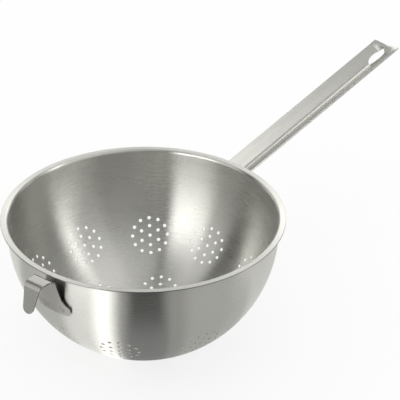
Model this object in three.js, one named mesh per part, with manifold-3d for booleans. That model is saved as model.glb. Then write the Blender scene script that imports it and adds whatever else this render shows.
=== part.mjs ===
// A stainless steel strainer: a round-bottomed perforated bowl, a long gutter-shaped handle
// and a pot hook opposite it. The handle and the hook are spot-welded to the outside of the bowl.
// Millimetres and degrees. Z is the bowl's axis, the handle lies along +X, and the origin is
// the centre of the base's underside.

import * as THREE from "three";
import { mergeGeometries, mergeVertices } from "three/addons/utils/BufferGeometryUtils.js";
import Module from "manifold-3d";

// Bowl
const rimDiameter = 240;
const rimWidth = 5.5;
const rimBend = 1.5;
const bowlSheet = 1;
const straightWall = 8;
const baseDiameter = 66;
const baseBlend = 20;

// Perforations: clusters of one middle hole and two rings of holes
const holeDiameter = 3;
const punchLength = 57;
const innerRing = 8.6;
const innerCount = 6;
const outerRing = 15.75;
const outerCount = 12;
const clusterTwist = 4.5;
const upperPolar = 54.4;
const upperBearings = [3, 37, 75, 112, 142, 173, 208, 250, 288, 326];
const lowerPolar = 27.6;
const lowerBearings = [26, 83, 146, 206, 266, 326];

// Handle: a strip folded to a shallow gutter that is pressed almost flat at its free end
const handleSheet = 1.5;
const handleBlank = 31;
const endBlank = 27.7;
const handleLength = 241;
const handleRise = 9;
const wingsBelowRim = 11.5;
const wingSlope = 34;
const holeSlope = 30;
const endSlope = 9;
const valleyRadius = 5;
const foldLength = 12;
const fadeLength = 9;
const handleBend = 6;
const tabLength = 34;
const tabCorner = 7;
const hangLength = 24.5;
const hangWidth = 8;
const hangAside = 1.2;
const hangFromEnd = 16.3;

// Hook: a strip bent over to hang on the edge of a pot
const hookBearing = 180;
const hookSheet = 1.5;
const hookBelowRim = 1.8;
const hookFootPolar = 74.5;
const hookFootLength = 8;
const hookFootWidth = 35;
const hookFootCorner = 6;
const hookFootBend = 12;
const hookKick = 6;
const hookFlareLength = 9;
const hookLegWidth = 22.6;
const hookPlateWidth = 17.8;
const hookPlateLength = 7;
const hookBend = 4.8;
const hookLean = 17;
const hookTongueLength = 21;
const hookTipWidth = 11.5;

// Spot welds, and the gap between parts that touch
const weldDiameter = 5;
const weldDimple = 0.25;
const handleWeldSpacing = 15;
const handleWeldRows = [10, 25];
const hookWeldSpacing = 17;
const hookWeldFromEnd = 6;
const fitGap = 0.3;

// How far a punch starts outside the sheet that it cuts
const punchStart = 3;

// Smoothness of the faceted solids
const bowlFacets = 40;
const wallSteps = 8;
const bendSteps = 5;
const cornerSteps = 4;
const blendSteps = 4;
const holeFacets = 5;
const weldFacets = 8;

const wasm = await Module();
wasm.setup();

const radians = THREE.MathUtils.degToRad;
const rimRadius = rimDiameter / 2;
const bowlRadius = rimRadius - rimWidth;
const baseRadius = baseDiameter / 2;
const sphereHeight = baseBlend + Math.sqrt((bowlRadius - baseBlend) ** 2 - baseRadius ** 2);
const rimHeight = sphereHeight + straightWall + bowlSheet;
const sphereCentre = new THREE.Vector3(0, 0, sphereHeight);

// Solids, and cuts between them

function solidOf(geometry) {
  const merged = mergeVertices(positionsOnly(geometry), 1e-4);
  const index = merged.index.array;
  const triVerts = [];
  for (let i = 0; i < index.length; i += 3) {
    const [a, b, c] = index.slice(i, i + 3);
    if (a !== b && b !== c && c !== a) triVerts.push(a, b, c);
  }
  const mesh = new wasm.Mesh({
    numProp: 3,
    vertProperties: Float32Array.from(merged.attributes.position.array),
    triVerts: Uint32Array.from(triVerts),
  });
  return new wasm.Manifold(mesh);
}

function geometryOf(solid) {
  const mesh = solid.getMesh();
  const geometry = new THREE.BufferGeometry();
  geometry.setAttribute("position", new THREE.BufferAttribute(Float32Array.from(mesh.vertProperties), 3));
  geometry.setIndex(new THREE.BufferAttribute(Uint32Array.from(mesh.triVerts), 1));
  geometry.computeVertexNormals();
  return geometry;
}

// Cuts a set of separate punches out of a piece
function punched(geometry, punches) {
  return geometryOf(solidOf(geometry).subtract(solidOf(mergeGeometries(punches.map(positionsOnly)))));
}

function positionsOnly(geometry) {
  const bare = geometry.index ? geometry.toNonIndexed() : geometry.clone();
  bare.deleteAttribute("normal");
  bare.deleteAttribute("uv");
  return bare;
}

// Turns a geometry's own Y axis to a direction and moves its origin to a point
function aimed(geometry, point, direction) {
  const turn = new THREE.Quaternion().setFromUnitVectors(new THREE.Vector3(0, 1, 0), direction);
  return geometry.applyQuaternion(turn).translate(point.x, point.y, point.z);
}

// Bowl

function arc(centreX, centreY, radius, fromAngle, toAngle, steps) {
  const backwards = toAngle < fromAngle;
  const curve = new THREE.EllipseCurve(centreX, centreY, radius, radius, fromAngle, toAngle, backwards);
  return curve.getPoints(steps);
}

// One side of the bowl's sheet, from the axis up to the rim: 0 is the outside, bowlSheet the inside
function bowlSide(inset) {
  const blendAngle = Math.asin(baseRadius / (bowlRadius - baseBlend));
  const bottom = -Math.PI / 2;
  const bendHeight = rimHeight - bowlSheet - rimBend;
  return [
    new THREE.Vector2(0, inset),
    ...arc(baseRadius, baseBlend, baseBlend - inset, bottom, bottom + blendAngle, 2),
    ...arc(0, sphereHeight, bowlRadius - inset, bottom + blendAngle, 0, wallSteps).slice(1),
    ...arc(bowlRadius + rimBend, bendHeight, rimBend + inset, Math.PI, Math.PI / 2, 3),
    new THREE.Vector2(rimRadius, rimHeight - bowlSheet + inset),
  ];
}

function bowlShell() {
  const outline = [...bowlSide(0), ...bowlSide(bowlSheet).reverse()];
  return new THREE.LatheGeometry(outline, bowlFacets).rotateX(Math.PI / 2);
}

// The holes of one cluster, each as a distance and an angle from the cluster's middle
function clusterHoles() {
  const holes = [{ distance: 0, angle: 0 }];
  for (const [count, distance] of [[innerCount, innerRing], [outerCount, outerRing]]) {
    for (let i = 0; i < count; i += 1) {
      holes.push({ distance, angle: radians(clusterTwist + (360 * i) / count) });
    }
  }
  return holes;
}

// A slightly tapered punch that enters from the outside and makes a hole of the full size mid-sheet
function tapered(centre, outward) {
  const headRadius = (holeDiameter / 2) * (punchLength / (punchLength - punchStart));
  const geometry = new THREE.ConeGeometry(headRadius, punchLength, holeFacets);
  geometry.translate(0, punchLength / 2 - punchStart, 0);
  return aimed(geometry, centre, outward.clone().negate());
}

// Punches for a cluster on the round part of the bowl, each square to the sheet
function roundCluster(polar, bearing) {
  const outward = new THREE.Vector3(Math.cos(bearing), Math.sin(bearing), 0);
  const sideways = new THREE.Vector3(-Math.sin(bearing), Math.cos(bearing), 0);
  const middle = outward.clone().multiplyScalar(Math.sin(polar)).setZ(-Math.cos(polar));
  const rimward = outward.clone().multiplyScalar(Math.cos(polar)).setZ(Math.sin(polar));
  return clusterHoles().map(({ distance, angle }) => {
    const away = distance / bowlRadius;
    const direction = middle.clone().multiplyScalar(Math.cos(away))
      .addScaledVector(rimward, Math.sin(away) * Math.cos(angle))
      .addScaledVector(sideways, Math.sin(away) * Math.sin(angle));
    const centre = sphereCentre.clone().addScaledVector(direction, bowlRadius - bowlSheet / 2);
    return tapered(centre, direction);
  });
}

// Punches for the base, whose middle is left whole
function baseCluster() {
  const downward = new THREE.Vector3(0, 0, -1);
  return clusterHoles().filter(({ distance }) => distance > 0).map(({ distance, angle }) => {
    const centre = new THREE.Vector3(distance * Math.cos(angle), distance * Math.sin(angle), bowlSheet / 2);
    return tapered(centre, downward);
  });
}

function clusterRing(polar, bearings) {
  return bearings.flatMap((bearing) => roundCluster(radians(polar), radians(bearing)));
}

function bowl() {
  const punches = [
    ...clusterRing(upperPolar, upperBearings),
    ...clusterRing(lowerPolar, lowerBearings),
    ...baseCluster(),
  ];
  return punched(bowlShell(), punches);
}

// Folded strips

// A strip's centre line in its own upright plane, drawn as a walk of straights and turns.
// Each station keeps its place, its heading and its distance along the strip.
class CentreLine {
  constructor(x, z, heading) {
    this.stations = [{ x, z, heading, along: 0 }];
  }

  get last() {
    return this.stations[this.stations.length - 1];
  }

  straight(length, steps) {
    const { x, z, heading, along } = this.last;
    for (let i = 1; i <= steps; i += 1) {
      const step = (length * i) / steps;
      const place = { x: x + step * Math.cos(heading), z: z + step * Math.sin(heading) };
      this.stations.push({ ...place, heading, along: along + step });
    }
    return this;
  }

  // A positive angle turns to the left, and a negative one to the right
  turn(radius, angle, steps) {
    const { x, z, heading, along } = this.last;
    const side = Math.sign(angle);
    for (let i = 1; i <= steps; i += 1) {
      const turned = (angle * i) / steps;
      const ahead = heading + turned;
      this.stations.push({
        x: x + side * radius * (Math.sin(ahead) - Math.sin(heading)),
        z: z - side * radius * (Math.cos(ahead) - Math.cos(heading)),
        heading: ahead,
        along: along + radius * Math.abs(turned),
      });
    }
    return this;
  }
}

// The place on a strip's section at a distance across it, where slope gives its tilt there
function sectionPoint(across, slope) {
  const steps = 16;
  const step = across / steps;
  let side = 0;
  let rise = 0;
  for (let i = 0; i < steps; i += 1) {
    const tilt = slope((i + 0.5) * step);
    side += step * Math.cos(tilt);
    rise += step * Math.sin(tilt);
  }
  return { side, rise, tilt: slope(across) };
}

function gutterSlope(tilt) {
  return (across) => THREE.MathUtils.clamp(across / valleyRadius, -tilt, tilt);
}

function gutterDepth(halfWidth, tilt) {
  return sectionPoint(halfWidth, gutterSlope(tilt)).rise;
}

// A closed sheet of even thickness lofted through the stations. Each has a half width and a slope.
function foldedSheet(stations, fractions, thickness) {
  const positions = [];
  const indices = [];
  const ringSize = 2 * fractions.length;
  for (const { x, z, heading, halfWidth, slope } of stations) {
    const up = new THREE.Vector3(-Math.sin(heading), 0, Math.cos(heading));
    const face = (fraction, offset) => {
      const { side, rise, tilt } = sectionPoint(fraction * halfWidth, slope);
      const point = new THREE.Vector3(x, side - offset * Math.sin(tilt), z);
      return point.addScaledVector(up, rise + offset * Math.cos(tilt));
    };
    const top = fractions.map((fraction) => face(fraction, thickness / 2));
    const under = fractions.map((fraction) => face(fraction, -thickness / 2)).reverse();
    for (const point of [...top, ...under]) positions.push(point.x, point.y, point.z);
  }
  const quad = (a, b, c, d) => indices.push(a, b, c, a, c, d);
  for (let i = 0; i + 1 < stations.length; i += 1) {
    for (let k = 0; k < ringSize; k += 1) {
      const next = (k + 1) % ringSize;
      quad(i * ringSize + k, (i + 1) * ringSize + k, (i + 1) * ringSize + next, i * ringSize + next);
    }
  }
  const end = (stations.length - 1) * ringSize;
  for (let j = 0; j + 1 < fractions.length; j += 1) {
    const opposite = ringSize - 1 - j;
    quad(j, j + 1, opposite - 1, opposite);
    quad(end + opposite, end + opposite - 1, end + j + 1, end + j);
  }
  const geometry = new THREE.BufferGeometry();
  geometry.setAttribute("position", new THREE.Float32BufferAttribute(positions, 3));
  geometry.setIndex(indices);
  return geometry;
}

// The half width of a strip near an end whose corners have a radius
function roundedHalf(halfWidth, radius, fromEnd) {
  const inside = Math.max(radius - fromEnd, 0);
  return halfWidth - radius + Math.sqrt(Math.max(radius ** 2 - inside ** 2, 0));
}

// Distances from an end that draw its rounded corner in even steps
function cornerCuts(radius) {
  const quarter = Math.PI / 2;
  const angles = Array.from({ length: cornerSteps }, (_, i) => (quarter * (i + 1)) / cornerSteps);
  return angles.map((angle) => radius * (1 - Math.cos(angle)));
}

// Distances along a half-round tip, in even steps that stop short of its point
function tipCuts(radius) {
  const step = Math.PI / 2 / (cornerSteps + 1);
  return Array.from({ length: cornerSteps }, (_, i) => radius * Math.sin(step * (i + 1)));
}

// The place, and the direction away from the bowl, of a point on a strip's centre line
function outsideOf(station, across, slope, thickness) {
  const { side, rise } = sectionPoint(across, slope);
  const inward = new THREE.Vector3(-Math.sin(station.heading), 0, Math.cos(station.heading));
  const place = new THREE.Vector3(station.x, side, station.z).addScaledVector(inward, rise);
  const tilt = slope(across);
  const away = inward.multiplyScalar(-Math.cos(tilt)).add(new THREE.Vector3(0, Math.sin(tilt), 0));
  return { place, away, thickness };
}

// The station at a distance along a strip, part way between its neighbours
function stationAt(stations, along) {
  const after = Math.max(stations.findIndex((station) => station.along >= along), 1);
  const [a, b] = [stations[after - 1], stations[after]];
  const share = (along - a.along) / (b.along - a.along);
  const mix = (key) => THREE.MathUtils.lerp(a[key], b[key], share);
  return { x: mix("x"), z: mix("z"), heading: mix("heading"), along };
}

// Spot welds: each fills a round hole in its strip and is dished on the outside

function weldPunch({ place, away, thickness }) {
  const radius = weldDiameter / 2 + fitGap;
  const length = thickness + 2 * punchStart;
  return aimed(new THREE.CylinderGeometry(radius, radius, length, weldFacets), place, away);
}

function weldNugget({ place, away, thickness }) {
  const radius = weldDiameter / 2;
  const length = thickness - weldDimple;
  const centre = place.clone().addScaledVector(away, -weldDimple / 2);
  return aimed(new THREE.CylinderGeometry(radius, radius, length, weldFacets), centre, away);
}

// Handle

const rise = radians(handleRise);
const handleSeat = bowlRadius + fitGap + handleSheet / 2;
const wingLine = new THREE.Vector2(rimRadius, rimHeight - wingsBelowRim);
const valleyDrop = gutterDepth(handleBlank / 2, radians(wingSlope));

// Where the tab leaves the bowl: the bend touches both the wall and the valley's line
function tabTopPolar() {
  const above = (wingLine.y - sphereHeight) * Math.cos(rise) - wingLine.x * Math.sin(rise) - valleyDrop;
  return Math.PI / 2 - (Math.asin((handleBend - above) / (handleSeat + handleBend)) - rise);
}

function handleStations() {
  const tabTop = tabTopPolar();
  const tabEnd = tabTop - tabLength / handleSeat;
  const startX = handleSeat * Math.sin(tabEnd);
  const startZ = sphereHeight - handleSeat * Math.cos(tabEnd);
  const line = new CentreLine(startX, startZ, tabEnd);
  let before = 0;
  for (const along of cornerCuts(tabCorner)) {
    line.turn(handleSeat, (along - before) / handleSeat, 1);
    before = along;
  }
  line.turn(handleSeat, (tabLength - before) / handleSeat, blendSteps);
  line.turn(handleBend, rise - line.last.heading, bendSteps);
  const bendEnd = line.last;
  const endDistance = handleLength - (bendEnd.x - wingLine.x) / Math.cos(rise);
  line.straight(foldLength, blendSteps);
  line.straight(endDistance - foldLength - fadeLength, blendSteps);
  line.straight(fadeLength, blendSteps);
  const gutterStart = bendEnd.along + foldLength;
  const fadeStart = line.last.along - fadeLength;
  return line.stations.map((station) => {
    const { along } = station;
    const folded = THREE.MathUtils.smoothstep(along, tabLength, gutterStart);
    const opened = THREE.MathUtils.clamp((along - gutterStart) / (fadeStart - gutterStart), 0, 1);
    const faded = THREE.MathUtils.smoothstep(along, fadeStart, fadeStart + fadeLength);
    const opening = THREE.MathUtils.lerp(wingSlope, holeSlope, opened);
    const tilt = radians(THREE.MathUtils.lerp(opening, endSlope, faded));
    const gutter = gutterSlope(tilt);
    const slope = (across) => THREE.MathUtils.lerp(across / handleSeat, gutter(across), folded);
    const trimmed = THREE.MathUtils.lerp(handleBlank, endBlank, faded) / 2;
    const lift = valleyDrop - gutterDepth(trimmed, tilt);
    return {
      ...station,
      x: station.x - lift * Math.sin(station.heading),
      z: station.z + lift * Math.cos(station.heading),
      halfWidth: roundedHalf(trimmed, tabCorner, along),
      slope,
    };
  });
}

const handleLine = handleStations();

function handleWelds() {
  const slope = (across) => across / handleSeat;
  return handleWeldRows.flatMap((fromTop) => [-1, 1].map((side) => {
    const station = stationAt(handleLine, tabLength - fromTop);
    return outsideOf(station, (side * handleWeldSpacing) / 2, slope, handleSheet);
  }));
}

// The hanging hole: an oval near the free end, a little to one side of the valley, from a punch as deep as
// the strip is wide
function hangPunch() {
  const end = handleLine[handleLine.length - 1];
  const station = stationAt(handleLine, end.along - hangFromEnd);
  const oval = new THREE.Shape().absellipse(0, 0, hangLength / 2, hangWidth / 2, 0, 2 * Math.PI);
  const depth = handleBlank;
  const plain = { depth, bevelEnabled: false, curveSegments: bendSteps * 2 };
  const geometry = new THREE.ExtrudeGeometry(oval, plain);
  geometry.translate(0, 0, -depth / 2);
  geometry.rotateY(-station.heading);
  geometry.translate(station.x, hangAside, station.z);
  return geometry;
}

function handle() {
  const fractions = [-1, -0.72, -0.45, -0.2, -0.1, 0, 0.1, 0.2, 0.45, 0.72, 1];
  const strip = foldedSheet(handleLine, fractions, handleSheet);
  return punched(strip, [...handleWelds().map(weldPunch), hangPunch()]);
}

// Hook

const hookSeat = bowlRadius + fitGap + hookSheet / 2;

function hookStations() {
  const foot = radians(hookFootPolar);
  const line = new CentreLine(hookSeat * Math.sin(foot), sphereHeight - hookSeat * Math.cos(foot), foot);
  let before = 0;
  for (const along of [...cornerCuts(hookFootCorner), hookFootLength]) {
    line.turn(hookSeat, (along - before) / hookSeat, 1);
    before = along;
  }
  line.turn(hookFootBend, -radians(hookKick), 1);
  const { heading: legHeading, along: legStart } = line.last;
  const plateHeight = rimHeight - hookBelowRim - hookSheet / 2;
  const legRise = plateHeight - line.last.z - hookBend * (1 - Math.cos(legHeading));
  line.straight(hookFlareLength, blendSteps);
  line.straight(legRise / Math.sin(legHeading) - hookFlareLength, 2);
  const legEnd = line.last.along;
  line.turn(hookBend, -legHeading, bendSteps);
  const plateStart = line.last.along;
  line.straight(hookPlateLength, 2);
  const plateEnd = line.last.along;
  line.turn(hookBend, radians(hookLean) - Math.PI / 2, bendSteps);
  const tipRadius = hookTipWidth / 2;
  const tipStart = line.last.along + hookTongueLength - tipRadius;
  line.straight(hookTongueLength - tipRadius, blendSteps);
  before = 0;
  for (const along of tipCuts(tipRadius)) {
    line.straight(along - before, 1);
    before = along;
  }
  const halfAt = (along) => {
    if (along <= hookFootLength) return roundedHalf(hookFootWidth / 2, hookFootCorner, along);
    if (along <= legEnd) {
      const past = THREE.MathUtils.clamp((along - legStart) / hookFlareLength, 0, 1);
      return THREE.MathUtils.lerp(hookLegWidth, hookFootWidth, (1 - past) ** 2) / 2;
    }
    if (along <= plateStart) {
      const share = (along - legEnd) / (plateStart - legEnd);
      return THREE.MathUtils.lerp(hookPlateWidth, hookLegWidth, Math.sqrt(Math.max(1 - share ** 2, 0))) / 2;
    }
    if (along <= plateEnd) return hookPlateWidth / 2;
    if (along <= tipStart) {
      return THREE.MathUtils.mapLinear(along, plateEnd, tipStart, hookPlateWidth, hookTipWidth) / 2;
    }
    return Math.sqrt(tipRadius ** 2 - (along - tipStart) ** 2);
  };
  return line.stations.map((station) => {
    const flat = THREE.MathUtils.smoothstep(station.along, hookFootLength, legEnd);
    const slope = (across) => (across / hookSeat) * (1 - flat);
    return { ...station, halfWidth: halfAt(station.along), slope };
  });
}

const hookLine = hookStations();

function hookWelds() {
  const station = stationAt(hookLine, hookWeldFromEnd);
  const slope = (across) => across / hookSeat;
  return [-1, 1].map((side) => outsideOf(station, (side * hookWeldSpacing) / 2, slope, hookSheet));
}

function hook() {
  const fractions = [-1, -0.6, -0.25, 0.25, 0.6, 1];
  const strip = foldedSheet(hookLine, fractions, hookSheet);
  return punched(strip, hookWelds().map(weldPunch));
}

// Assembly

function steel(color, roughness) {
  return new THREE.MeshStandardMaterial({ color, roughness, metalness: 1 });
}

function piece(name, geometry, material) {
  const mesh = new THREE.Mesh(geometry, material);
  mesh.name = name;
  return mesh;
}

const satinSteel = steel(0xc9c8c3, 0.32);
const brushedSteel = steel(0xc4c4bf, 0.4);
const weldSteel = steel(0xa9a8a3, 0.5);

const strainer = new THREE.Group();
strainer.add(piece("bowl", bowl(), satinSteel));
strainer.add(piece("handle", handle(), brushedSteel));
handleWelds().forEach((weld, i) => {
  strainer.add(piece(`handle_weld_${i + 1}`, weldNugget(weld), weldSteel));
});

const hookGroup = new THREE.Group();
hookGroup.rotation.z = radians(hookBearing);
hookGroup.add(piece("hook", hook(), brushedSteel));
hookWelds().forEach((weld, i) => {
  hookGroup.add(piece(`hook_weld_${i + 1}`, weldNugget(weld), weldSteel));
});
strainer.add(hookGroup);

export default strainer;
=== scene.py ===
"""A satin stainless steel strainer: a perforated bowl, a gutter-shaped handle, a pot hook and their spot welds.

Sizes are in millimetres until a mesh is made. Z is the bowl's axis and the handle lies along +X.
"""

from math import asin, cos, pi, radians, sin, sqrt, tau

import bpy
import numpy as np
from mathutils import Matrix, Vector
from mathutils.geometry import delaunay_2d_cdt


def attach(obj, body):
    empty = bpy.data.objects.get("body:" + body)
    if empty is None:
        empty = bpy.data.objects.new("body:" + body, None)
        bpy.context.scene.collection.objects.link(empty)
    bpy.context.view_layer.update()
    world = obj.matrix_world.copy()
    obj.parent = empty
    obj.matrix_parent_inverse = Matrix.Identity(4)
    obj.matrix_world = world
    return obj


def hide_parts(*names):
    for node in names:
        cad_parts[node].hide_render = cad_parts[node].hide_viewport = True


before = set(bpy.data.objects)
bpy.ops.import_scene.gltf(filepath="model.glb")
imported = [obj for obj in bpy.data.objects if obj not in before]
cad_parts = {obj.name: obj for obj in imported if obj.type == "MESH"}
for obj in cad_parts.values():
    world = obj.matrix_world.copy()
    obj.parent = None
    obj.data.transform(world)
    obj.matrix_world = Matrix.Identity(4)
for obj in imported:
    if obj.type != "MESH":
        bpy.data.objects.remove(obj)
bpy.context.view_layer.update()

MM = 0.001

# Bowl
RIM_RADIUS = 120
RIM_WIDTH = 5.5
RIM_BEND = 1.5
BOWL_SHEET = 1
STRAIGHT_WALL = 8
BASE_RADIUS = 33
BASE_BLEND = 20
BOWL_RADIUS = RIM_RADIUS - RIM_WIDTH
SPHERE_HEIGHT = BASE_BLEND + sqrt((BOWL_RADIUS - BASE_BLEND) ** 2 - BASE_RADIUS ** 2)
RIM_HEIGHT = SPHERE_HEIGHT + STRAIGHT_WALL + BOWL_SHEET

# Perforations
HOLE_RADIUS = 1.5
CLUSTER_RINGS = ((6, 8.6), (12, 15.75))
CLUSTER_TWIST = radians(4.5)
UPPER_POLAR = radians(54.4)
UPPER_BEARINGS = (3, 37, 75, 112, 142, 173, 208, 250, 288, 326)
LOWER_POLAR = radians(27.6)
LOWER_BEARINGS = (26, 83, 146, 206, 266, 326)

# Handle
HANDLE_SHEET = 1.5
HANDLE_BLANK = 31
END_BLANK = 27.7
HANDLE_LENGTH = 241
HANDLE_RISE = radians(9)
WINGS_BELOW_RIM = 11.5
WING_SLOPE = radians(34)
HOLE_SLOPE = radians(30)
END_SLOPE = radians(9)
VALLEY_RADIUS = 5
FOLD_LENGTH = 12
FADE_LENGTH = 9
HANDLE_BEND = 6
TAB_LENGTH = 34
TAB_CORNER = 7
END_CORNER = 1
HANG_LENGTH = 24.5
HANG_WIDTH = 8
HANG_ASIDE = 1.2
HANG_FROM_END = 16.3

# Hook
HOOK_BEARING = radians(180)
HOOK_SHEET = 1.5
HOOK_BELOW_RIM = 1.8
HOOK_FOOT_POLAR = radians(74.5)
HOOK_FOOT_LENGTH = 8
HOOK_FOOT_WIDTH = 35
HOOK_FOOT_CORNER = 6
HOOK_FOOT_BEND = 12
HOOK_KICK = radians(6)
HOOK_FLARE_LENGTH = 9
HOOK_LEG_WIDTH = 22.6
HOOK_PLATE_WIDTH = 17.8
HOOK_PLATE_LENGTH = 7
HOOK_BEND = 4.8
HOOK_LEAN = radians(17)
HOOK_TONGUE_LENGTH = 21
HOOK_TIP_WIDTH = 11.5

# Spot welds, and the gap between parts that touch
WELD_RADIUS = 2.5
HANDLE_WELD_SPACING = 15
HANDLE_WELD_ROWS = (10, 25)
HOOK_WELD_SPACING = 17
HOOK_WELD_FROM_END = 6
FIT_GAP = 0.3
WELD_PLAY = 0.02
WELD_EDGE = 0.1
WELD_CORE = 0.7

# The dish of a weld mark, as radius and height over the strip's face, and the outward and upward shares of its normals
WELD_DISH = ((WELD_CORE, -0.25), (1.5, -0.2), (2.0, -0.08), (2.4, 0.02))
WELD_NORMALS = ((0, 1), (0.1, 1), (-0.2, 1), (-0.1, 1), (0.2, 1), (1, 0.2), (1, -0.2), (0.2, -1), (0, -1))

# Rounding of the cut edges
BOWL_EDGE = 0.2
STRIP_EDGE = 0.3

# Mesh divisions
HOLE_FACETS = 20
HANG_FACETS = 48
WELD_FACETS = 32
WELD_HOLE_FACETS = 24
BOWL_AROUND = 256
BOWL_SPACING = 5
RIM_BEND_RINGS = 9
RIM_RING = 1.6
SECTION_STEPS = 24
ROUND_STEPS = 12
HANDLE_SHARES = (0.06, 0.13, 0.2, 0.29, 0.4, 0.54, 0.68, 0.82, 0.94)
HOOK_SHARES = (0.3, 0.55, 0.8)

# Lookups, small distances and the kind of triangles that fill a blank
WALL_LOOKUP = 400
WALL_LOOKUP_MARGIN = 3
SECTION_LOOKUP = 101
PROBE = 0.02
SAME_POINT = 1e-6
NO_CURVE = 1e-9
INSIDE_TRIANGLES = 1


# Sheet metal

class Line:
    """A line in an upright plane, drawn as straights and bends: each run is a length and the angle it turns through."""

    def __init__(self, across, height, heading, runs):
        self.starts = []
        along = 0.0
        for length, turn in runs:
            self.starts.append((along, across, height, heading, turn / length))
            across, height, heading = self.step(across, height, heading, turn / length, length)
            along += length
        self.length = along
        self.end = (across, height, heading)

    @staticmethod
    def step(across, height, heading, curve, distance):
        if abs(curve) < NO_CURVE:
            return across + distance * np.cos(heading), height + distance * np.sin(heading), heading + 0 * distance
        ahead = heading + curve * distance
        return (across + (np.sin(ahead) - np.sin(heading)) / curve,
                height - (np.cos(ahead) - np.cos(heading)) / curve, ahead)

    def at(self, along):
        """Distance across, height and heading at distances along the line."""
        along = np.asarray(along, float)
        found = np.zeros((3, len(along)))
        for start, across, height, heading, curve in self.starts:
            here = along >= start if start > 0 else np.ones(len(along), bool)
            found[:, here] = self.step(across, height, heading, curve, along[here] - start)
        return found


def left_of(loop):
    """The unit direction to the left of a closed loop of flat points, at each point."""
    ahead = np.roll(loop, -1, axis=0) - np.roll(loop, 1, axis=0)
    ahead /= np.linalg.norm(ahead, axis=1)[:, None]
    return np.column_stack([-ahead[:, 1], ahead[:, 0]])


def within(points, loop):
    """Which of the flat points lie inside a closed loop."""
    x, y = points[:, :1], points[:, 1:]
    ax, ay = loop[:, 0], loop[:, 1]
    bx, by = np.roll(ax, -1), np.roll(ay, -1)
    spans = (ay > y) != (by > y)
    crossing = ax + (y - ay) * (bx - ax) / np.where(by == ay, 1, by - ay)
    return (spans & (x < crossing)).sum(axis=1) % 2 == 1


def unit(vectors):
    return vectors / np.linalg.norm(vectors, axis=1)[:, None]


def facing(place, points):
    """The upward normal of a bent blank at flat points."""
    right, back = np.array([PROBE, 0]), np.array([0, PROBE])
    return unit(np.cross(place(points + right) - place(points - right), place(points + back) - place(points - back)))


def add_piece(name, points, faces, normals):
    mesh = bpy.data.meshes.new(name)
    mesh.from_pydata((np.asarray(points) * MM).tolist(), [], faces)
    mesh.polygons.foreach_set("use_smooth", [True] * len(mesh.polygons))
    mesh.normals_split_custom_set_from_vertices(np.asarray(normals).tolist())
    piece = bpy.data.objects.new(name, mesh)
    bpy.context.scene.collection.objects.link(piece)
    return piece


def ring_faces(rings, around):
    """Faces with four corners between rings of points that follow one another."""
    return [(k * around + i, k * around + (i + 1) % around, (k + 1) * around + (i + 1) % around, (k + 1) * around + i)
            for k in range(rings - 1) for i in range(around)]


def sheet(name, outline, holes, inside, place, thickness, edge):
    """A bent sheet. The outline runs anticlockwise and the holes clockwise round the flat blank, with points inside it.
    place bends flat points to the middle of the sheet, and edge is the rounding of the cut edges."""
    loops = [outline, *holes]
    rims = [loop + edge * left_of(loop) for loop in loops]
    clear = 2 * edge
    keep = within(inside, outline + clear * left_of(outline))
    for loop in holes:
        grown = loop + clear * left_of(loop)
        near = np.abs(inside - loop.mean(axis=0)).max(axis=1) < np.ptp(loop, axis=0).max()
        keep[near] &= ~within(inside[near], grown)
    flat = np.vstack([*rims, inside[keep]])
    edges, owner, start = [], np.full(len(flat), -1), 0
    for number, rim in enumerate(rims):
        count = len(rim)
        edges += [(start + i, start + (i + 1) % count) for i in range(count)]
        owner[start:start + count] = number
        start += count
    corners = [Vector(point) for point in flat]
    _, _, cells, origin, _, _ = delaunay_2d_cdt(corners, edges, [], INSIDE_TRIANGLES, SAME_POINT, True)
    source = np.array([found[0] for found in origin])
    cells = source[np.array(cells)]
    one_loop = (owner[cells] == owner[cells[:, :1]]).all(axis=1) & (owner[cells[:, 0]] >= 0)
    against_loop = (cells < np.roll(cells, -1, axis=1)).sum(axis=1) == 1
    cells = cells[~(one_loop & against_loop)]
    total = len(flat)
    faces = cells.tolist() + (total + cells[:, ::-1]).tolist()
    up = facing(place, flat)
    middle = place(flat)
    points = [middle + up * thickness / 2, middle - up * thickness / 2]
    normals = [up, -up]
    base, start = 2 * total, 0
    for loop in loops:
        count = len(loop)
        up = facing(place, loop)
        middle = place(loop)
        outward = unit(place(loop - PROBE * left_of(loop)) - middle)
        depth = thickness / 2 - edge
        points += [middle + up * depth, middle - up * depth]
        normals += [outward, outward]
        for i in range(count):
            j = (i + 1) % count
            ring = [(start + k, base + k, base + count + k, total + start + k) for k in (i, j)]
            faces += [(ring[0][n], ring[0][n + 1], ring[1][n + 1], ring[1][n]) for n in range(3)]
        base += 2 * count
        start += count
    return add_piece(name, np.vstack(points), faces, np.vstack(normals))


def circle(centre, radius, count):
    """A clockwise ring of flat points."""
    turn = -np.arange(count) * tau / count
    return np.column_stack([centre[0] + radius * np.cos(turn), centre[1] + radius * np.sin(turn)])


# Bowl

blend_angle = asin(BASE_RADIUS / (BOWL_RADIUS - BASE_BLEND))
half_sheet = BOWL_SHEET / 2
bowl_line = Line(0, half_sheet, 0, [
    (BASE_RADIUS, 0),
    ((BASE_BLEND - half_sheet) * blend_angle, blend_angle),
    ((BOWL_RADIUS - half_sheet) * (pi / 2 - blend_angle), pi / 2 - blend_angle),
    (STRAIGHT_WALL - RIM_BEND, 0),
    ((RIM_BEND + half_sheet) * pi / 2, -pi / 2),
    (RIM_WIDTH - RIM_BEND, 0),
])
_, _, _, round_end, bend_start, bend_end = (run[0] for run in bowl_line.starts)


def on_bowl(points):
    radius, height, _ = bowl_line.at(np.hypot(points[:, 0], points[:, 1]))
    bearing = np.arctan2(points[:, 1], points[:, 0])
    return np.column_stack([radius * np.cos(bearing), radius * np.sin(bearing), height])


def cluster_holes():
    """Distance and angle of each hole from its cluster's middle."""
    rings = [(distance, CLUSTER_TWIST + tau * i / count) for count, distance in CLUSTER_RINGS for i in range(count)]
    return [(0, 0), *rings]


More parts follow.
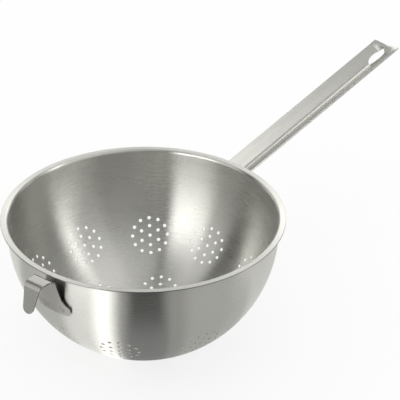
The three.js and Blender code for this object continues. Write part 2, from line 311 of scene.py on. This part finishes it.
def round_hole(direction):
    """The flat outline of a round hole that is square to the sphere's wall at a direction from its centre."""
    side = unit(np.cross([[0, 0, 1]], [direction]))[0]
    rise = np.cross(direction, side)
    turn = -np.arange(HOLE_FACETS) * tau / HOLE_FACETS
    size = HOLE_RADIUS / BOWL_RADIUS
    ring = cos(size) * direction + sin(size) * (np.outer(np.cos(turn), side) - np.outer(np.sin(turn), rise))
    along = np.linspace(BASE_RADIUS - WALL_LOOKUP_MARGIN, round_end, WALL_LOOKUP)
    radius, height, _ = bowl_line.at(along)
    polar = np.arctan2(radius, SPHERE_HEIGHT - height)
    reach = np.interp(np.arccos(-ring[:, 2]), polar, along)
    bearing = np.arctan2(ring[:, 1], ring[:, 0])
    return np.column_stack([reach * np.cos(bearing), reach * np.sin(bearing)])


def bowl_holes():
    """The base's cluster has no hole in its middle."""
    holes = [circle((d * cos(a), d * sin(a)), HOLE_RADIUS, HOLE_FACETS) for d, a in cluster_holes() if d > 0]
    for polar, bearings in ((UPPER_POLAR, UPPER_BEARINGS), (LOWER_POLAR, LOWER_BEARINGS)):
        for bearing in np.radians(bearings):
            outward = np.array([cos(bearing), sin(bearing), 0])
            sideways = np.array([-sin(bearing), cos(bearing), 0])
            up = np.array([0, 0, 1])
            middle = sin(polar) * outward - cos(polar) * up
            rimward = cos(polar) * outward + sin(polar) * up
            for distance, angle in cluster_holes():
                away = distance / BOWL_RADIUS
                direction = cos(away) * middle + sin(away) * (cos(angle) * rimward + sin(angle) * sideways)
                holes.append(round_hole(direction))
    return holes


def bowl():
    rings = [np.zeros((1, 2))]
    for number, reach in enumerate(np.arange(BOWL_SPACING, round_end - BOWL_SPACING / 2, BOWL_SPACING)):
        radius = bowl_line.at([reach])[0][0]
        count = round(tau * radius / BOWL_SPACING)
        rings.append(circle((0, 0), reach, count) @ Matrix.Rotation((number % 2) * pi / count, 2))
    bend = np.linspace(bend_start, bend_end, RIM_BEND_RINGS)
    for reach in [round_end, (round_end + bend_start) / 2, *bend, bend_end + RIM_RING]:
        rings.append(circle((0, 0), reach, BOWL_AROUND))
    outline = circle((0, 0), bowl_line.length, BOWL_AROUND)[::-1]
    return sheet("strainer_bowl", outline, bowl_holes(), np.vstack(rings), on_bowl, BOWL_SHEET, BOWL_EDGE)


# Folded strips

def section(across, slope):
    """Place across and rise of a strip's section at distances across it, where slope gives its tilt there."""
    share = (np.arange(SECTION_STEPS) + 0.5) / SECTION_STEPS
    tilt = slope(across[:, None] * share)
    return across * np.cos(tilt).mean(axis=1), across * np.sin(tilt).mean(axis=1)


def gutter_slope(across, tilt):
    return np.clip(across / VALLEY_RADIUS, -tilt, tilt)


def gutter_depth(half, tilt):
    """Rise from the valley to the wing's edge for each half width and tilt of the wings."""
    return section(half, lambda across: gutter_slope(across, tilt[:, None]))[1]


def smooth(value, low, high):
    share = np.clip((value - low) / (high - low), 0, 1)
    return share * share * (3 - 2 * share)


def mix(a, b, share):
    return a + (b - a) * share


def strip_points(line, flat, slope, lift):
    """Bends flat points along a strip's line and across its section."""
    along, height, heading = line.at(flat[:, 0])
    side, rise = section(flat[:, 1], slope)
    rise = rise + lift
    return np.column_stack([along - rise * np.sin(heading), side, height + rise * np.cos(heading)])


def rounded(half, radius, from_end):
    """Half width of a strip whose end has round corners, at distances from that end."""
    inside = np.maximum(radius - from_end, 0)
    return half - radius + np.sqrt(np.maximum(radius ** 2 - inside ** 2, 0))


def corner_cuts(radius, count):
    """Stations along a round corner, from the end of the strip."""
    return radius * (1 - np.cos(np.arange(count + 1) * pi / 2 / count))


def spread(start, end, count):
    """Even stations after the start, up to the end."""
    return np.linspace(start, end, count + 1)[1:]


def both_sides(shares):
    return np.concatenate([-np.array(shares)[::-1], [0], shares])


def strip_outline(stations, halves, across):
    """An anticlockwise outline from half widths at stations, with the two ends divided at shares of their width."""
    right = np.column_stack([stations, -halves])
    left = np.column_stack([stations, halves])[::-1]
    far = np.column_stack([np.full(len(across), stations[-1]), across * halves[-1]])
    near = np.column_stack([np.full(len(across), stations[0]), -across * halves[0]])
    return np.vstack([right, far, left, near])


def strip_inside(stations, halves, across):
    """Points across the strip at every station but the two at each end."""
    rows = list(zip(stations, halves))[2:-2]
    return np.vstack([np.column_stack([np.full(len(across), along), across * half]) for along, half in rows])


def weld_holes(welds):
    return [circle(weld, WELD_RADIUS + FIT_GAP, WELD_HOLE_FACETS) for weld in welds]


# Handle

handle_seat = BOWL_RADIUS + FIT_GAP + HANDLE_SHEET / 2
valley_drop = gutter_depth(np.array([HANDLE_BLANK / 2]), np.array([WING_SLOPE]))[0]
wing_height = RIM_HEIGHT - WINGS_BELOW_RIM
above = (wing_height - SPHERE_HEIGHT) * cos(HANDLE_RISE) - RIM_RADIUS * sin(HANDLE_RISE) - valley_drop
tab_top = pi / 2 - (asin((HANDLE_BEND - above) / (handle_seat + HANDLE_BEND)) - HANDLE_RISE)
tab_end = tab_top - TAB_LENGTH / handle_seat
bend_turn = HANDLE_RISE - tab_top
tab_runs = [(TAB_LENGTH, TAB_LENGTH / handle_seat), (-HANDLE_BEND * bend_turn, bend_turn)]
tab_start = (handle_seat * sin(tab_end), SPHERE_HEIGHT - handle_seat * cos(tab_end), tab_end)
bend_reach = Line(*tab_start, tab_runs).end[0]
gutter_length = HANDLE_LENGTH - (bend_reach - RIM_RADIUS) / cos(HANDLE_RISE)
handle_line = Line(*tab_start, [*tab_runs, (gutter_length, 0)])
handle_bend_end = handle_line.starts[2][0]
gutter_start = handle_bend_end + FOLD_LENGTH
fade_start = handle_line.length - FADE_LENGTH


def handle_half(along):
    return mix(HANDLE_BLANK, END_BLANK, smooth(along, fade_start, handle_line.length)) / 2


def on_handle(points):
    along = points[:, 0]
    folded = smooth(along, TAB_LENGTH, gutter_start)[:, None]
    opened = np.clip((along - gutter_start) / (fade_start - gutter_start), 0, 1)
    faded = smooth(along, fade_start, handle_line.length)
    tilt = mix(mix(WING_SLOPE, HOLE_SLOPE, opened), END_SLOPE, faded)

    def slope(across):
        return mix(across / handle_seat, gutter_slope(across, tilt[:, None]), folded)

    return strip_points(handle_line, points, slope, valley_drop - gutter_depth(handle_half(along), tilt))


def handle_welds():
    return [(TAB_LENGTH - row, side * HANDLE_WELD_SPACING / 2) for row in HANDLE_WELD_ROWS for side in (-1, 1)]


def hanging_hole():
    """An oval in plan, unfolded to the flat blank."""
    turn = -np.arange(HANG_FACETS) * tau / HANG_FACETS
    across = np.linspace(-HANDLE_BLANK / 2, HANDLE_BLANK / 2, SECTION_LOOKUP)
    side = section(across, lambda place: gutter_slope(place, HOLE_SLOPE))[0]
    unfolded = np.interp(HANG_ASIDE + HANG_WIDTH / 2 * np.sin(turn), side, across)
    return np.column_stack([handle_line.length - HANG_FROM_END + HANG_LENGTH / 2 * np.cos(turn), unfolded])


def handle():
    end = handle_line.length
    stations = np.concatenate([
        corner_cuts(TAB_CORNER, 8),
        spread(TAB_CORNER, TAB_LENGTH, 10),
        spread(TAB_LENGTH, handle_bend_end, 12),
        spread(handle_bend_end, gutter_start, 9),
        spread(gutter_start, fade_start, 43),
        spread(fade_start, end - END_CORNER, 11),
        end - corner_cuts(END_CORNER, 4)[-2::-1],
    ])
    halves = handle_half(stations)
    halves = np.minimum(rounded(halves, TAB_CORNER, stations), rounded(halves, END_CORNER, end - stations))
    across = both_sides(HANDLE_SHARES)
    outline = strip_outline(stations, halves, across)
    holes = [hanging_hole(), *weld_holes(handle_welds())]
    inside = strip_inside(stations, halves, across)
    return sheet("strainer_handle", outline, holes, inside, on_handle, HANDLE_SHEET, STRIP_EDGE)


# Hook

hook_seat = BOWL_RADIUS + FIT_GAP + HOOK_SHEET / 2
foot_runs = [(HOOK_FOOT_LENGTH, HOOK_FOOT_LENGTH / hook_seat), (HOOK_FOOT_BEND * HOOK_KICK, -HOOK_KICK)]
foot_start = (hook_seat * sin(HOOK_FOOT_POLAR), SPHERE_HEIGHT - hook_seat * cos(HOOK_FOOT_POLAR), HOOK_FOOT_POLAR)
_, leg_foot, leg_heading = Line(*foot_start, foot_runs).end
plate_height = RIM_HEIGHT - HOOK_BELOW_RIM - HOOK_SHEET / 2
leg_length = (plate_height - leg_foot - HOOK_BEND * (1 - cos(leg_heading))) / sin(leg_heading)
tongue_turn = HOOK_LEAN - pi / 2
hook_line = Line(*foot_start, [
    *foot_runs,
    (leg_length, 0),
    (HOOK_BEND * leg_heading, -leg_heading),
    (HOOK_PLATE_LENGTH, 0),
    (-HOOK_BEND * tongue_turn, tongue_turn),
    (HOOK_TONGUE_LENGTH, 0),
])
_, _, leg_start, leg_end, plate_start, plate_end, tongue_start = (run[0] for run in hook_line.starts)
tip_radius = HOOK_TIP_WIDTH / 2
tip_start = hook_line.length - tip_radius


def on_hook(points):
    flat = smooth(points[:, 0], HOOK_FOOT_LENGTH, leg_end)[:, None]
    bent = strip_points(hook_line, points, lambda across: (across / hook_seat) * (1 - flat), 0)
    turn = np.array(Matrix.Rotation(HOOK_BEARING, 3, "Z"))
    return bent @ turn.T


def hook_half(along):
    flare = 1 - np.clip((along - leg_start) / HOOK_FLARE_LENGTH, 0, 1)
    leg = rounded(mix(HOOK_LEG_WIDTH, HOOK_FOOT_WIDTH, flare ** 2) / 2, HOOK_FOOT_CORNER, along)
    share = np.clip((along - leg_end) / (plate_start - leg_end), 0, 1)
    shoulder = mix(HOOK_PLATE_WIDTH, HOOK_LEG_WIDTH, np.sqrt(1 - share ** 2)) / 2
    taper = np.clip((along - plate_end) / (tip_start - plate_end), 0, 1)
    tongue = mix(HOOK_PLATE_WIDTH, HOOK_TIP_WIDTH, taper) / 2
    past_tip = np.clip(along - tip_start, 0, tip_radius)
    tip = np.sqrt(tip_radius ** 2 - past_tip ** 2)
    return np.select([along <= leg_end, along <= plate_start, along <= tip_start], [leg, shoulder, tongue], tip)


def hook_welds():
    return [(HOOK_WELD_FROM_END, side * HOOK_WELD_SPACING / 2) for side in (-1, 1)]


def hook():
    rounding = np.sin(np.arange(1, ROUND_STEPS + 1) * pi / (2 * ROUND_STEPS))
    flare_end = leg_start + HOOK_FLARE_LENGTH
    stations = np.concatenate([
        corner_cuts(HOOK_FOOT_CORNER, 8),
        spread(HOOK_FOOT_CORNER, leg_start, 3),
        spread(leg_start, flare_end, 9),
        spread(flare_end, leg_end, 8),
        leg_end + (plate_start - leg_end) * rounding,
        spread(plate_start, plate_end, 3),
        spread(plate_end, tongue_start, 9),
        spread(tongue_start, tip_start, 8),
        tip_start + tip_radius * rounding[:-1],
    ])
    halves = hook_half(stations)
    across = both_sides(HOOK_SHARES)
    outline = strip_outline(stations, halves, across)
    inside = strip_inside(stations, halves, across)
    return sheet("strainer_hook", outline, weld_holes(hook_welds()), inside, on_hook, HOOK_SHEET, STRIP_EDGE)


# Spot welds

def weld(name, place, spot, thickness):
    """A round mark that fills its hole in the strip, dished on the side away from the bowl."""
    rim = WELD_RADIUS + FIT_GAP - WELD_PLAY
    half = thickness / 2
    dish = [(radius, half + height) for radius, height in WELD_DISH]
    profile = [*dish, (rim - WELD_EDGE, half), (rim, half - WELD_EDGE), (rim, WELD_EDGE - half),
               (rim - WELD_EDGE, -half), (WELD_CORE, -half)]
    flat = np.array([spot], float)
    centre = place(flat)[0]
    out = -facing(place, flat)[0]
    side = unit(np.cross([out], [[0, 0, 1]]))[0]
    back = np.cross(out, side)
    turn = np.arange(WELD_FACETS) * tau / WELD_FACETS
    spokes = np.outer(np.cos(turn), side) + np.outer(np.sin(turn), back)
    points = [centre + radius * spokes + height * out for radius, height in profile]
    faces = [(b, a, d, c) for a, b, c, d in ring_faces(len(profile), WELD_FACETS)]
    last = (len(profile) - 1) * WELD_FACETS
    faces.append(tuple(range(WELD_FACETS)))
    faces.append(tuple(reversed(range(last, last + WELD_FACETS))))
    normals = [unit(across * spokes + rise * out) for across, rise in WELD_NORMALS]
    return add_piece(name, np.vstack(points), faces, np.vstack(normals))


# Materials

class Value:
    """A number in a shader, with arithmetic that adds Math nodes."""

    def __init__(self, shader, socket):
        self.shader = shader
        self.socket = socket

    def math(self, operation, *others):
        return self.shader.node("ShaderNodeMath", {"operation": operation}, [self, *others]).value()

    def __add__(self, other):
        return self.math("ADD", other)

    def __sub__(self, other):
        return self.math("SUBTRACT", other)

    def __rsub__(self, other):
        return self.shader.node("ShaderNodeMath", {"operation": "SUBTRACT"}, [other, self]).value()

    def __mul__(self, other):
        return self.math("MULTIPLY", other)

    def __truediv__(self, other):
        return self.math("DIVIDE", other)

    __radd__ = __add__
    __rmul__ = __mul__


class Node:
    def __init__(self, shader, node):
        self.shader = shader
        self.node = node

    def value(self, output=0):
        return Value(self.shader, self.node.outputs[output])


class Shader:
    """A node tree that is built by one method."""

    def __init__(self, tree):
        self.tree = tree
        tree.nodes.clear()

    def node(self, kind, settings=None, inputs=None):
        node = self.tree.nodes.new(kind)
        for key, setting in (settings or {}).items():
            if key == "stops":
                self.set_stops(node.color_ramp.elements, setting)
            else:
                setattr(node, key, setting)
        pairs = inputs.items() if isinstance(inputs, dict) else enumerate(inputs or [])
        for key, given in pairs:
            if isinstance(given, Value):
                self.tree.links.new(given.socket, node.inputs[key])
            else:
                node.inputs[key].default_value = given
        return Node(self, node)

    @staticmethod
    def set_stops(elements, stops):
        while len(elements) < len(stops):
            elements.new(0.5)
        for element, (place, colour) in zip(elements, stops):
            element.position = place
            element.color = colour

    def blend(self, share, first, second, clamp=True):
        """A colour between two others."""
        settings = {"data_type": "RGBA", "clamp_factor": clamp}
        return self.node("ShaderNodeMix", settings, {0: share, 6: first, 7: second}).value(2)


def new_material(name):
    material = bpy.data.materials.new(name)
    material.use_nodes = True
    return material, Shader(material.node_tree)


# Steel: the brush lines and the cloudy stain in it, and how far they and the cut edge change its tone and roughness.
# The cut edge's darker tone is partly an unpolished edge and partly painted shade under the rim's lip
BRUSH_NOISE = {"Scale": 1.0, "Detail": 4.0, "Roughness": 0.6}
CLOUD_NOISE = {"Scale": 28.0, "Detail": 3.0}
CLOUD_TONE = 0.3
# How far the cut edge darkens: partly an unpolished edge, partly painted shade under the rim's lip
CUT_AND_SHADE_TONE = 3.0
DARK_TONE = 0.9
LIGHT_TONE = 1.06
STREAK_ROUGHNESS = 0.15
CLOUD_ROUGHNESS = 0.05
CUT_ROUGHNESS = 0.15
BRUSH_DEPTH = 0.0002


def satin_steel(name, colour, grain, roughness, relief, streak, anisotropy=0.0, turn=0.0):
    """Brushed steel. grain gives the vector of the brush lines from the object's own coordinates, and where the sheet's
    cut edge shows, darkened partly as an unpolished edge and partly as painted shade under the rim's lip."""
    material, shader = new_material(name)
    place = shader.node("ShaderNodeTexCoord").value("Object")
    lines, cut_and_shade = grain(shader, place)
    fine = shader.node("ShaderNodeTexNoise", None, {"Vector": lines, **BRUSH_NOISE}).value() - 0.5
    cloud = shader.node("ShaderNodeTexNoise", None, {"Vector": place, **CLOUD_NOISE}).value() - 0.5
    # The cut edge is darkened partly as an unpolished edge and partly as painted shade under the rim's lip
    tone = 0.5 + streak * fine + CLOUD_TONE * cloud - CUT_AND_SHADE_TONE * cut_and_shade
    dark, light = ((*(share * c for c in colour), 1) for share in (DARK_TONE, LIGHT_TONE))
    steel = shader.blend(tone, dark, light, clamp=False)
    relief_of_lines = {"Strength": relief, "Distance": BRUSH_DEPTH, "Height": fine}
    bump = shader.node("ShaderNodeBump", None, relief_of_lines).value()
    surface = shader.node("ShaderNodeBsdfPrincipled", None, {
        "Base Color": steel,
        "Metallic": 1.0,
        "Roughness": roughness + STREAK_ROUGHNESS * streak * fine + CLOUD_ROUGHNESS * cloud + CUT_ROUGHNESS * cut_and_shade,
        "Anisotropic": anisotropy,
        "Anisotropic Rotation": turn,
        "Normal": bump,
    }).value()
    shader.node("ShaderNodeOutputMaterial", None, {"Surface": surface})
    return material


# Scale of the brush lines: round the bowl and up its wall, and along the axes of the handle and the hook
LINES_ROUND = 3.0
LINES_UP = 260.0
HANDLE_LINES = (22, 1400, 500)
HOOK_LINES = (200, 1400, 60)

# Where the rim's cut edge starts and ends, inside the rim's radius, and a small length that keeps the radius above
# zero. The band's darker tone is partly an unpolished edge and partly painted shade under the lip
CUT_AND_SHADE_BAND = (0.3, 0.05)
AXIS_GAP = 1e-5


def coordinates(shader, place):
    parts = shader.node("ShaderNodeSeparateXYZ", None, [place])
    return [parts.value(i) for i in range(3)]


def round_the_axis(shader, place):
    """Brush lines that run round the bowl, coarse along the bearing and fine up the wall, and the rim's cut edge, whose
    darker tone is partly painted shade under the lip.
    """
    x, y, z = coordinates(shader, place)
    radius = (x * x + y * y).math("SQRT") + AXIS_GAP
    polar = radius.math("ARCTAN2", SPHERE_HEIGHT * MM - z)
    bearing = [x / radius * LINES_ROUND, y / radius * LINES_ROUND]
    lines = shader.node("ShaderNodeCombineXYZ", None, [*bearing, polar * LINES_UP]).value()
    start, end = ((RIM_RADIUS - inset) * MM for inset in CUT_AND_SHADE_BAND)
    return lines, shader.node("ShaderNodeMapRange", None, [radius, start, end, 0.0, 1.0]).value()


def along_the_handle(shader, place):
    return shader.node("ShaderNodeMapping", None, {"Vector": place, "Scale": HANDLE_LINES}).value(), 0.0


def down_the_hook(shader, place):
    return shader.node("ShaderNodeMapping", None, {"Vector": place, "Scale": HOOK_LINES}).value(), 0.0


PALE_STEEL = (0.68, 0.675, 0.65)
HOOK_STEEL = (0.4, 0.395, 0.375)
WELD_STEEL = (0.36, 0.355, 0.335)
bowl_steel = satin_steel("bowl_satin", PALE_STEEL, round_the_axis, roughness=0.28, relief=0.25, streak=0.5,
                         anisotropy=1.0, turn=0.25)
handle_steel = satin_steel("handle_satin", PALE_STEEL, along_the_handle, roughness=0.3, relief=0.02, streak=0.1)
hook_steel = satin_steel("hook_satin", HOOK_STEEL, down_the_hook, roughness=0.22, relief=0.02, streak=0.1)
weld_steel = satin_steel("weld_mark", WELD_STEEL, down_the_hook, roughness=0.4, relief=0.02, streak=0.3)


# Pieces on the frame

def dress(piece, node, material):
    piece.data.materials.append(material)
    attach(piece, "root")
    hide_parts(node)


dress(bowl(), "bowl", bowl_steel)
dress(handle(), "handle", handle_steel)
dress(hook(), "hook", hook_steel)
for number, spot in enumerate(handle_welds(), 1):
    mark = weld(f"handle_weld_mark_{number}", on_handle, spot, HANDLE_SHEET)
    dress(mark, f"handle_weld_{number}", weld_steel)
for number, spot in enumerate(hook_welds(), 1):
    mark = weld(f"hook_weld_mark_{number}", on_hook, spot, HOOK_SHEET)
    dress(mark, f"hook_weld_{number}", weld_steel)


# Camera

CAMERA_BEARING = radians(40.6)
CAMERA_ELEVATION = radians(30.558)
CAMERA_DISTANCE = 1.8
CAMERA_YAW = radians(1.758)
CAMERA_PITCH = radians(-30.153)
CAMERA_ROLL = radians(0.338)
LENS = 192.636
SENSOR = 36

ahead = Vector((cos(CAMERA_BEARING), sin(CAMERA_BEARING), 0))
rightward = Vector((sin(CAMERA_BEARING), -cos(CAMERA_BEARING), 0))
upward = Vector((0, 0, 1))
from_rim = cos(CAMERA_ELEVATION) * -ahead + sin(CAMERA_ELEVATION) * upward
spot = from_rim * CAMERA_DISTANCE + upward * RIM_HEIGHT * MM
level = sin(CAMERA_YAW) * rightward + cos(CAMERA_YAW) * ahead
view = cos(CAMERA_PITCH) * level + sin(CAMERA_PITCH) * upward
right = view.cross(upward).normalized()
up = right.cross(view)
right, up = cos(CAMERA_ROLL) * right + sin(CAMERA_ROLL) * up, cos(CAMERA_ROLL) * up - sin(CAMERA_ROLL) * right

camera_data = bpy.data.cameras.new("camera")
camera_data.sensor_width = SENSOR
camera_data.lens = LENS
camera = bpy.data.objects.new("camera", camera_data)
camera.matrix_world = Matrix.Translation(spot) @ Matrix((right, up, -view)).transposed().to_4x4()
bpy.context.scene.collection.objects.link(camera)
bpy.context.scene.camera = camera


# Studio

WHITE = (1, 1, 1, 1)
FLOOR_PAINT = (0.92, 0.92, 0.92, 1)
FLOOR_GLOW = 0.8
FLOOR_REACH = 20
SKY_LEVEL = 1.05


def add_scenery(name, points, faces, material):
    mesh = bpy.data.meshes.new(name)
    mesh.from_pydata(points, [], faces)
    mesh.materials.append(material)
    scenery = bpy.data.objects.new(name, mesh)
    bpy.context.scene.collection.objects.link(scenery)
    return scenery


def floor_white():
    """A white floor that keeps a soft shadow, looks brighter to the camera than its paint, and is clear from below."""
    material, shader = new_material("floor_white")
    seen = shader.node("ShaderNodeLightPath").value("Is Camera Ray")
    paint = shader.node("ShaderNodeBsdfDiffuse", None, {"Color": FLOOR_PAINT}).value()
    glow = shader.node("ShaderNodeEmission", None, {"Color": WHITE, "Strength": 1.0}).value()
    above = shader.node("ShaderNodeMixShader", None, [seen * FLOOR_GLOW, paint, glow]).value()
    below = shader.node("ShaderNodeNewGeometry").value("Backfacing")
    clear = shader.node("ShaderNodeBsdfTransparent", None, {"Color": WHITE}).value()
    surface = shader.node("ShaderNodeMixShader", None, [below, above, clear]).value()
    shader.node("ShaderNodeOutputMaterial", None, {"Surface": surface})
    return material


floor_corners = [(x * FLOOR_REACH, y * FLOOR_REACH, 0) for x, y in ((-1, -1), (1, -1), (1, 1), (-1, 1))]
floor = add_scenery("floor", floor_corners, [(0, 1, 2, 3)], floor_white())
floor.visible_glossy = False

world = bpy.data.worlds.new("studio")
bpy.context.scene.world = world
world.use_nodes = True
sky = Shader(world.node_tree)
background = sky.node("ShaderNodeBackground", None, {"Color": WHITE, "Strength": SKY_LEVEL}).value()
sky.node("ShaderNodeOutputWorld", None, {"Surface": background})
world.cycles.sampling_method = "NONE"

# Brightness of the light tent by bearing in degrees, where 0 is the camera's side and 90 is to its right
FLOOR_PANELS = {-150: 1.0, -104: 0.65, -58: 1.0, -34: 1.75, -20: 0.5, -11: 0.1, 14: 0.42, 28: 0.55, 80: 0.85, 145: 0.2}
WALL_PANELS = {-163: 0.2, -150: 0.7, -122: 0.0, -95: 1.0, -66: 3.2, -50: 4.0, -28: 0.1, 10: 0.3, 40: 0.6,
               77: 3.4, 87: 0.3, 110: 0.8, 125: 0.1, 146: 1.7}
TOP_PANELS = {-160: 1.0, -145: 0.3, -104: 1.0, -76: 0.1, -28: 0.7, 40: 1.0, 96: 2.0, 111: 0.5}
BRIGHTEST = 4.0
PANEL_BLUE = 0.97
SOFT_EDGE = 8

# The tent's heights, as the angle up from the middle of its floor: the wall starts over a dark skirt at the back
BACK_SKIRT = {-150: 0.0, 150: 0.25}
WALL_RISE = (0.05, 0.2)
TOP_RISE = (0.6, 0.85)

# The least brightness of the floor under the bowl, and where it fades out
FOOT_LEVEL = 0.32
FOOT_REACH = (0.12, 0.23)

# The tent's shape in metres, and the lifts of the rings of its dome
TENT_RADIUS = 1.6
TENT_MIDDLE = 0.002
TENT_BELOW_FLOOR = 0.001
TENT_AROUND = 96
TENT_LIFTS = np.radians([0, 15, 30, 45, 60, 75])


def tent_panels(shader, bearing, panels):
    """Panels of one level each, from each bearing round to the next, with soft edges."""
    levels = [level / BRIGHTEST for level in panels.values()]
    stops = []
    for start, before, level in zip(panels, [levels[-1], *levels], levels):
        for side, shown in ((-0.5, before), (0.5, level)):
            stops.append(((start + side * SOFT_EDGE) / 360 + 0.5, (shown, shown, PANEL_BLUE * shown, 1)))
    return shader.node("ShaderNodeValToRGB", {"stops": stops}, [bearing]).value()


def tent_light():
    """Light by bearing in three tiers: the floor, the wall and the top."""
    material, shader = new_material("tent_panels")
    x, y, z = coordinates(shader, shader.node("ShaderNodeTexCoord").value("Object"))
    bearing = y.math("ARCTAN2", x) / tau + 0.5
    reach = (x * x + y * y).math("SQRT")
    rise = z.math("ARCTAN2", reach)
    floor_light, wall_light, top_light, skirt = (tent_panels(shader, bearing, panels)
                                                 for panels in (FLOOR_PANELS, WALL_PANELS, TOP_PANELS, BACK_SKIRT))

    def fade(value, ends, before, after):
        soft = {"interpolation_type": "SMOOTHSTEP"}
        return shader.node("ShaderNodeMapRange", soft, [value, *ends, before, after]).value()

    foot = fade(reach, FOOT_REACH, FOOT_LEVEL / BRIGHTEST, 0.0)
    floor_light = shader.node("ShaderNodeVectorMath", {"operation": "MAXIMUM"}, [floor_light, foot]).value()
    on_wall = fade(rise - skirt * BRIGHTEST, WALL_RISE, 0.0, 1.0)
    on_top = fade(rise, TOP_RISE, 0.0, 1.0)
    light = shader.blend(on_top, shader.blend(on_wall, floor_light, wall_light), top_light)
    glow = shader.node("ShaderNodeEmission", None, {"Color": light, "Strength": BRIGHTEST}).value()
    shader.node("ShaderNodeOutputMaterial", None, {"Surface": glow})
    return material


def light_tent():
    """A tent round the strainer that shows only in its reflections, with bright panels and dark gaps."""
    turn = np.arange(TENT_AROUND) * tau / TENT_AROUND
    walls = [(TENT_RADIUS * cos(lift), TENT_RADIUS * sin(lift)) for lift in TENT_LIFTS]
    rings = [(TENT_MIDDLE, 0), *walls, (TENT_MIDDLE, TENT_RADIUS)]
    points = [np.column_stack([r * np.cos(turn), r * np.sin(turn), np.full(TENT_AROUND, h)]) for r, h in rings]
    tent = add_scenery("light_tent", np.vstack(points).tolist(), ring_faces(len(rings), TENT_AROUND), tent_light())
    tent.matrix_world = Matrix((-ahead, rightward, upward)).transposed().to_4x4()
    tent.location.z = -TENT_BELOW_FLOOR
    for kind in ("camera", "diffuse", "transmission", "volume_scatter", "shadow"):
        setattr(tent, f"visible_{kind}", False)


light_tent()

bpy.context.scene.view_settings.view_transform = "Standard"
